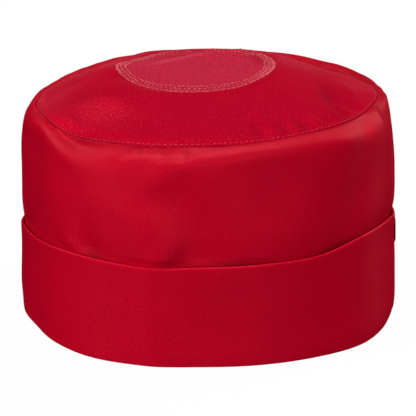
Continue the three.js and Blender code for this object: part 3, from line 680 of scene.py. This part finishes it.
def tubes(name, paths, radii, sides=6):
    """Closed round threads along paths, a list of (k, 3) points, joined in one mesh."""
    points, quads, uv, start = [], [], [], 0
    for path, radius in zip(paths, radii):
        k = len(path)
        t = np.gradient(path, axis=0)
        t = t / np.linalg.norm(t, axis=-1, keepdims=True)
        side = np.cross(t, np.array([0.0, 0.0, 1.0]))
        side = side / np.maximum(np.linalg.norm(side, axis=-1, keepdims=True), 1e-6)
        up = np.cross(side, t)
        ang = np.arange(sides) * 2 * math.pi / sides
        size = np.broadcast_to(np.asarray(radius, float), (k,))
        ring = path[:, None] + size[:, None, None] * (side[:, None] * np.cos(ang)[None, :, None] + up[:, None] * np.sin(ang)[None, :, None])
        points.append(ring.reshape(-1, 3))
        i, j = np.meshgrid(np.arange(k - 1), np.arange(sides), indexing="ij")
        j2 = (j + 1) % sides
        q = np.stack([i * sides + j, i * sides + j2, (i + 1) * sides + j2, (i + 1) * sides + j], -1).reshape(-1, 4)
        ends = []
        for row, flip in ((0, True), (k - 1, False)):
            c = row * sides + np.arange(sides)
            for b in range(1, sides - 2, 2):
                f = [c[0], c[b], c[b + 1], c[b + 2]]
                ends.append(f[::-1] if flip else f)
        quads.append(np.concatenate([q, np.array(ends)]) + start)
        start += k * sides
    flat, quads = np.concatenate(points), np.concatenate(quads)
    return make_mesh(name, flat, quads, flat[quads.ravel()][:, :2])


def build_ring_stitches():
    rng = np.random.default_rng(51)
    count, paths, radii = 96, [], []
    centre = np.array([*DISC_CENTRE, 0])

    def at(azimuth, radius, over):
        azimuth, radius = np.asarray(azimuth, float), np.asarray(radius, float)
        return on_round(azimuth, radius, disc_height(azimuth, radius) + over) + centre
    step = 360 / count
    ends = np.array([0.55, 0.95, 1, 1, 0.95, 0.55])
    for k in range(count):
        a0 = k * step
        full = 1.02 + 0.50 * bump(turn(a0, 75), 35) + 0.28 * bump(turn(a0, -85), 25)
        behind = 0.30 * bump(turn(a0, 178), 30)                                   # drawn in deeper at the back
        for row, size, gap, shift in ((35.3, 0.22, 0.36, 0.0), (37.7, 0.20, 0.46, 0.5)):     # two rows of dashes
            s = np.linspace(gap / 2, 1 - gap / 2, 6) + shift + rng.normal(0, 0.06)
            path = row + rng.normal(0, 0.16) + rng.normal(0, 0.70) * (s - s.mean())
            sunk = rng.uniform(-0.20, 0.08) - behind
            paths.append(at(a0 + s * step, path, sunk + 0.26 * np.sin(math.pi * np.linspace(0.08, 0.92, 6))))
            radii.append(size * full * rng.uniform(0.65, 1.2) * ends)
        s = np.linspace(0, 1, 7)                                                 # a loop over the cut edge
        sunk = rng.uniform(-0.16, 0.02) - behind
        paths.append(at(a0 + (0.18 + 0.64 * s + rng.normal(0, 0.06)) * step, 39.4 + (1.2 + rng.normal(0, 0.14)) * np.sin(math.pi * s) ** 0.8, sunk + 0.10 * np.sin(math.pi * s)))
        radii.append(np.full(7, 0.19) * full * rng.uniform(0.75, 1.15))
        for start, low, high in ((0.10, 35.9, 37.5), (0.55, 38.0, 39.7))[:2 * int(full > 1.16)]:     # looper threads show across the rows at the sides
            s = np.linspace(0, 1, 5)
            lean = rng.uniform(0.35, 0.6)
            paths.append(at(a0 + (start + lean * s + rng.normal(0, 0.05)) * step, low + (high - low) * s, rng.uniform(-0.10, 0.02) - behind + 0.06 * np.sin(math.pi * s)))
            radii.append(np.full(5, 0.06 + 0.28 * (full - 1.16)) * rng.uniform(0.8, 1.2))
    return tubes("ring_stitches", paths, radii, 6)


def build_seam_stitches():
    rng = np.random.default_rng(52)
    az = np.linspace(-180, 180, 2881)
    reach = np.concatenate([np.linspace(0, 0.1, 41), np.linspace(0.12, 1, 30)])
    p = top_surface(az, reach)
    p[..., 2] += top_detail(az, p, reach)
    p = p[:, :41]
    d = lengths(p)
    line = np.stack([[np.interp(STITCH_IN, d[k], p[k, :, c]) for c in range(3)] for k in range(len(az))])
    run = np.concatenate([[0], np.cumsum(np.linalg.norm(np.diff(line, axis=0), axis=1))])
    count = int(run[-1] / 2.6)
    pitch = run[-1] / count
    paths, radii = [], []
    for k in range(count):
        s = (k + np.linspace(0.16 + rng.uniform(0, 0.16), 0.84 - rng.uniform(0, 0.22), 6)) * pitch + rng.normal(0, 0.05)
        q = np.stack([np.interp(s, run, line[:, c]) for c in range(3)], -1)
        out = q[:, :2] / np.linalg.norm(q[:, :2], axis=1, keepdims=True)
        q[:, :2] += out * (rng.normal(0, 0.09) + rng.normal(0, 0.08) * np.linspace(-1, 1, 6)[:, None])
        q[:, 2] += 0.05 + 0.26 * np.sin(math.pi * np.linspace(0.05, 0.95, 6))
        paths.append(q)
        radii.append(0.155 * rng.uniform(0.7, 1.2) * np.array([0.55, 0.95, 1, 1, 0.95, 0.55]))
    return tubes("seam_stitches", paths, radii, 6)


wall = build_wall()
cuff = build_cuff()
top = build_top()
disc = build_disc()
label = build_label()
ring_thread = build_ring_stitches()
seam_thread = build_seam_stitches()


# ---- materials --------------------------------------------------------------------------------
class Nodes:
    """A short way to write a node tree."""
    def __init__(self, name):
        self.material = bpy.data.materials.new(name)
        self.material.use_nodes = True
        self.tree = self.material.node_tree
        self.tree.nodes.clear()

    def add(self, kind, **values):
        node = self.tree.nodes.new(kind)
        for key, value in values.items():
            setattr(node, key, value)
        return node

    def set(self, node, **inputs):
        for key, value in inputs.items():
            socket = node.inputs[int(key[1:])] if key[0] == "_" and key[1:].isdigit() else node.inputs[key.replace("_", " ")]
            if isinstance(value, bpy.types.NodeSocket):
                self.tree.links.new(value, socket)
            else:
                socket.default_value = value
        return node

    def math(self, operation, a, b=0.0, clamp=False):
        node = self.add("ShaderNodeMath", operation=operation, use_clamp=clamp)
        self.set(node, _0=a, _1=b)
        return node.outputs[0]

    def noise(self, vector, scale, detail=2.0, rough=0.5):
        node = self.add("ShaderNodeTexNoise")
        self.set(node, Vector=vector, Scale=scale, Detail=detail, Roughness=rough)
        return node.outputs["Fac"]

    def mix(self, factor, a, b, blend="MIX"):
        node = self.add("ShaderNodeMix", data_type="RGBA", blend_type=blend)
        self.set(node, _0=factor, _6=a, _7=b)
        return node.outputs[2]

    def ramp(self, factor, stops):
        node = self.add("ShaderNodeValToRGB")
        ramp = node.color_ramp
        while len(ramp.elements) < len(stops):
            ramp.elements.new(0.5)
        for element, (place, colour) in zip(ramp.elements, stops):
            element.position, element.color = place, colour
        self.set(node, Fac=factor)
        return node.outputs[0]


def grey(x):
    return (x, x, x, 1.0)


def cloth(name, base, angle, pitch, rib=0.12, rough=0.37, gloss=0.17, own=0.15, streak=0.0, frost=(0.004, 0.032), sheen=0.0, painted_sheen=None):
    """Red twill: diagonal ribs at angle (degrees from the cloth's u) every pitch mm, slubs, unevenness and a few pale specks."""
    n = Nodes(name)
    uv = n.add("ShaderNodeUVMap", uv_map="cloth").outputs[0]
    mm = n.add("ShaderNodeMapping")
    n.set(mm, Vector=uv, Scale=(1000, 1000, 1000))
    turned = n.add("ShaderNodeMapping")
    n.set(turned, Vector=mm.outputs[0], Rotation=(0, 0, -math.radians(angle)))
    parts = n.add("ShaderNodeSeparateXYZ")
    n.set(parts, _0=turned.outputs[0])
    along, across = parts.outputs[0], parts.outputs[1]
    wander = n.noise(mm.outputs[0], 0.35, 2.0)
    across = n.math("ADD", across, n.math("MULTIPLY", wander, 0.55))
    wave = n.math("SINE", n.math("MULTIPLY", across, 2 * math.pi / pitch))
    ribs = n.math("ADD", n.math("MULTIPLY", wave, 0.5), 0.5)
    # short floats along each rib
    beat = n.math("SINE", n.math("ADD", n.math("MULTIPLY", along, 2 * math.pi / (pitch * 1.35)), n.math("MULTIPLY", across, 2 * math.pi / (pitch * 2.0))))
    weave = n.math("ADD", n.math("MULTIPLY", ribs, 0.65), n.math("MULTIPLY", n.math("MULTIPLY", beat, ribs), 0.35))
    stretched = n.add("ShaderNodeMapping")
    n.set(stretched, Vector=turned.outputs[0], Scale=(0.12, 1.6, 1))
    slub = n.noise(stretched.outputs[0], 0.8, 2.0)
    fuzz = n.noise(mm.outputs[0], 2.6, 3.0, 0.6)
    cloud = n.noise(mm.outputs[0], 0.045, 3.0, 0.55)
    value = n.math("ADD", n.math("MULTIPLY", weave, rib), 1.0 - rib * 0.5)
    value = n.math("ADD", value, n.math("MULTIPLY", n.math("SUBTRACT", slub, 0.5), 0.12 + streak))
    value = n.math("ADD", value, n.math("MULTIPLY", n.math("SUBTRACT", fuzz, 0.5), 0.09))
    value = n.math("ADD", value, n.math("MULTIPLY", n.math("SUBTRACT", cloud, 0.5), 0.10))
    colour = n.add("ShaderNodeVectorMath", operation="SCALE")
    n.set(colour, _0=base[:3], Scale=value)
    # paler fibre ends on the faces of the ribs
    drawn = n.add("ShaderNodeMapping")
    n.set(drawn, Vector=turned.outputs[0], Scale=(0.8, 1.6, 1))
    ends = n.noise(drawn.outputs[0], 1.1, 2.0, 0.7)
    pale = n.math("MULTIPLY", n.math("MULTIPLY", n.math("SUBTRACT", ends, 0.52), 8.0, clamp=True), n.math("ADD", n.math("MULTIPLY", weave, 0.7), 0.3))
    bloom = n.add("ShaderNodeVectorMath", operation="SCALE")
    n.set(bloom, _0=(0.02, frost[0], frost[1]), Scale=pale)
    both = n.add("ShaderNodeVectorMath", operation="ADD")
    n.set(both, _0=colour.outputs[0], _1=bloom.outputs[0])
    # lint: a pale fleck in some of the cells of a coarse net
    cells = n.add("ShaderNodeTexVoronoi")
    n.set(cells, Vector=mm.outputs[0], Scale=0.11)
    chance = n.add("ShaderNodeSeparateColor")
    n.set(chance, _0=cells.outputs["Color"])
    fleck = n.math("MULTIPLY", n.math("LESS_THAN", n.math("DIVIDE", cells.outputs["Distance"], 0.11), 0.20), n.math("GREATER_THAN", chance.outputs[0], 0.80))
    shade = n.mix(n.math("MULTIPLY", fleck, 0.35), both.outputs[0], (0.55, 0.22, 0.22, 1.0))
    if painted_sheen:
        # painted sheen: the colour is drawn towards a pale red where the attribute says, most on the fibre ends
        painted_sheen_share = n.add("ShaderNodeAttribute", attribute_name="painted_sheen").outputs["Fac"]
        shade = n.mix(n.math("MULTIPLY", painted_sheen_share, n.math("ADD", n.math("MULTIPLY", pale, 2.6), 0.35)), shade, painted_sheen)
    # painted shade: the colour is darkened by the attribute's share of light lost, and made paler as painted light
    # where the share is below nought
    painted_light_and_shade = n.add("ShaderNodeAttribute", attribute_name="painted_light_and_shade").outputs["Fac"]
    kept = n.add("ShaderNodeVectorMath", operation="SCALE")
    n.set(kept, _0=shade, Scale=n.math("SUBTRACT", 1.0, painted_light_and_shade))
    # painted highlight: the cuff's folded edge is made paler where it catches the light
    fold_painted_highlight = n.add("ShaderNodeAttribute", attribute_name="fold_painted_highlight").outputs["Fac"]
    painted_light = n.add("ShaderNodeVectorMath", operation="SCALE")
    n.set(painted_light, _0=kept.outputs[0], Scale=n.math("ADD", n.math("MULTIPLY", fold_painted_highlight, 0.22), 1.0))
    shade = painted_light.outputs[0]
    height = n.math("ADD", n.math("MULTIPLY", weave, 0.10), n.math("MULTIPLY", fuzz, 0.05))
    bumped = n.add("ShaderNodeBump")
    n.set(bumped, Strength=0.5, Distance=0.001, Height=height)
    shader = n.add("ShaderNodeBsdfPrincipled")
    n.set(shader, Base_Color=shade, Normal=bumped.outputs[0])
    n.set(shader, Roughness=n.math("ADD", n.math("MULTIPLY", fuzz, 0.12), rough - 0.06))
    shader.inputs["Specular IOR Level"].default_value = gloss
    shader.inputs["Specular Tint"].default_value = (1.0, 0.6, 0.7, 1.0)
    shader.inputs["Metallic"].default_value = own      # the dyed yarn shines in its own red
    shader.inputs["Sheen Weight"].default_value = sheen
    shader.inputs["Sheen Roughness"].default_value = 0.25
    shader.inputs["Sheen Tint"].default_value = (1.0, 0.55, 0.65, 1.0)
    out = n.add("ShaderNodeOutputMaterial")
    n.set(out, Surface=shader.outputs[0])
    return n.material


def thread(name, base):
    n = Nodes(name)
    uv = n.add("ShaderNodeUVMap", uv_map="cloth").outputs[0]
    mm = n.add("ShaderNodeMapping")
    n.set(mm, Vector=uv, Scale=(1000, 1000, 1000))
    tone = n.noise(mm.outputs[0], 0.5, 2.0)
    fine = n.noise(mm.outputs[0], 6.0, 2.0)
    value = n.math("ADD", n.math("MULTIPLY", tone, 1.1), n.math("ADD", n.math("MULTIPLY", fine, 0.3), 0.3))
    colour = n.add("ShaderNodeVectorMath", operation="SCALE")
    n.set(colour, _0=base[:3], Scale=value)
    bumped = n.add("ShaderNodeBump")
    n.set(bumped, Strength=0.4, Distance=0.0005, Height=n.math("MULTIPLY", fine, 0.1))
    shader = n.add("ShaderNodeBsdfPrincipled")
    n.set(shader, Base_Color=colour.outputs[0], Normal=bumped.outputs[0], Roughness=n.math("ADD", n.math("MULTIPLY", fine, 0.2), 0.5))
    shader.inputs["Specular IOR Level"].default_value = 0.03
    out = n.add("ShaderNodeOutputMaterial")
    n.set(out, Surface=shader.outputs[0])
    return n.material


def tape(name, base):
    n = Nodes(name)
    uv = n.add("ShaderNodeUVMap", uv_map="cloth").outputs[0]
    mm = n.add("ShaderNodeMapping")
    n.set(mm, Vector=uv, Scale=(1000, 1000, 1000))
    parts = n.add("ShaderNodeSeparateXYZ")
    n.set(parts, _0=mm.outputs[0])
    warp = n.math("SINE", n.math("MULTIPLY", parts.outputs[0], 2 * math.pi / 0.5))
    weft = n.math("SINE", n.math("MULTIPLY", parts.outputs[1], 2 * math.pi / 0.35))
    weave = n.math("ADD", n.math("MULTIPLY", n.math("MULTIPLY", warp, weft), 0.5), 0.5)
    fine = n.noise(mm.outputs[0], 3.0, 2.0)
    value = n.math("ADD", n.math("MULTIPLY", weave, 0.5), n.math("ADD", n.math("MULTIPLY", fine, 0.5), 0.5))
    colour = n.add("ShaderNodeVectorMath", operation="SCALE")
    n.set(colour, _0=base[:3], Scale=value)
    bumped = n.add("ShaderNodeBump")
    n.set(bumped, Strength=0.5, Distance=0.0004, Height=n.math("MULTIPLY", weave, 0.2))
    shader = n.add("ShaderNodeBsdfPrincipled")
    n.set(shader, Base_Color=colour.outputs[0], Normal=bumped.outputs[0], Roughness=n.math("ADD", n.math("MULTIPLY", fine, 0.2), 0.55))
    shader.inputs["Specular IOR Level"].default_value = 0.2
    out = n.add("ShaderNodeOutputMaterial")
    n.set(out, Surface=shader.outputs[0])
    return n.material


RED = (0.525, 0.0002, 0.0140, 1.0)
finishes = {
    wall: cloth("wall_twill", RED, 63, 1.0, painted_sheen=(0.45, 0.12, 0.15, 1.0)),
    cuff: cloth("cuff_twill", RED, 63, 1.0),
    top: cloth("top_twill", (0.418, 0.0002, 0.0140, 1.0), 66, 1.10, rib=0.15, gloss=0.0, own=0.0, frost=(0.020, 0.045), sheen=0.06, painted_sheen=(0.43, 0.12, 0.15, 1.0)),
    disc: cloth("disc_twill", (0.475, 0.009, 0.039, 1.0), 80, 1.20, rib=0.22, gloss=0.0, own=0.0, streak=0.2, frost=(0.105, 0.080), sheen=0.02, painted_sheen=(0.60, 0.12, 0.16, 1.0)),
    label: tape("label_tape", (0.010, 0.006, 0.022, 1.0)),
    ring_thread: thread("ring_thread", (0.68, 0.118, 0.142, 1.0)),
    seam_thread: thread("seam_thread", (0.62, 0.050, 0.080, 1.0)),
}
for piece, material in finishes.items():
    piece.data.materials.append(material)

# ---- frame ------------------------------------------------------------------------------------
for piece, node, slot in ((wall, "side_wall", "wall_cloth"), (cuff, "cuff", "cuff_cloth"), (top, "crown_top", "top_cloth"),
                          (disc, "crown_disc", "disc_cloth"), (label, "label", "label_tape")):
    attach(piece, "root")
    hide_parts(node)
for piece, slot in ((ring_thread, "disc_cloth"), (seam_thread, "top_cloth")):
    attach(piece, "root")

# ---- stage ------------------------------------------------------------------------------------
bpy.ops.mesh.primitive_plane_add(size=8.0, location=(0, 1.5, 0))
floor = bpy.context.object
floor.name = "floor"
n = Nodes("pale_floor")
diffuse = n.add("ShaderNodeBsdfDiffuse")
diffuse.inputs["Color"].default_value = grey(0.06)
glow = n.add("ShaderNodeEmission")
glow.inputs["Color"].default_value = grey(1.0)
glow.inputs["Strength"].default_value = 0.94
total = n.add("ShaderNodeAddShader")
n.set(total, _0=diffuse.outputs[0], _1=glow.outputs[0])
out = n.add("ShaderNodeOutputMaterial")
n.set(out, Surface=total.outputs[0])
floor.data.materials.append(n.material)
bpy.ops.mesh.primitive_uv_sphere_add(segments=48, ring_count=24, radius=6.0, location=(0, 0, 0))
room = bpy.context.object
room.name = "room"
n = Nodes("pale_room")
glow = n.add("ShaderNodeEmission")
glow.inputs["Color"].default_value = grey(1.0)
glow.inputs["Strength"].default_value = 1.0
out = n.add("ShaderNodeOutputMaterial")
n.set(out, Surface=glow.outputs[0])
room.data.materials.append(n.material)
# the floor and the room are bright cards: only the lamps light the cloth
for card in (floor, room):
    card.visible_glossy = card.visible_diffuse = card.visible_shadow = False

world = bpy.data.worlds.new("studio")
bpy.context.scene.world = world
world.use_nodes = True
world.node_tree.nodes["Background"].inputs[0].default_value = grey(1.0)
world.node_tree.nodes["Background"].inputs[1].default_value = 0.02
world.cycles_visibility.glossy = False


def sun(name, azimuth, elevation, strength, angle):
    """A broad far light from azimuth (as the hat's) and elevation, in degrees."""
    data = bpy.data.lights.new(name, "SUN")
    data.energy = strength
    data.angle = math.radians(angle)
    obj = bpy.data.objects.new(name, data)
    bpy.context.scene.collection.objects.link(obj)
    obj.rotation_euler = (math.radians(90 - elevation), 0, math.radians(azimuth))
    return obj


for lamp in (sun("left", -62, 10, 1.97, 50), sun("front", 15, 10, 1.64, 50), sun("right", 127, 10, 1.66, 50)):
    lamp.visible_glossy = False         # these lamps stay out of the cloth's gloss
sun("overhead", -3, 78, 1.60, 50)
sun("left_rear", -110, 32, 0.50, 40)
sun("right_rear", 126, 36, 0.55, 40)
sun("back", 180, 10, 1.20, 50).visible_glossy = False

camera_data = bpy.data.cameras.new("camera")
camera_data.lens = 183.29
camera_data.sensor_width = 36.0
camera_data.sensor_fit = "HORIZONTAL"
camera_data.clip_end = 50
camera = bpy.data.objects.new("camera", camera_data)
bpy.context.scene.collection.objects.link(camera)
camera.location = (0.0, -1.04413, 0.3994)
camera.rotation_euler = (math.radians(71.5), 0, 0)
bpy.context.scene.camera = camera

settings = bpy.context.scene.view_settings
settings.view_transform = "Standard"
settings.look = "None"
settings.exposure = 0.0
settings.gamma = 1.0
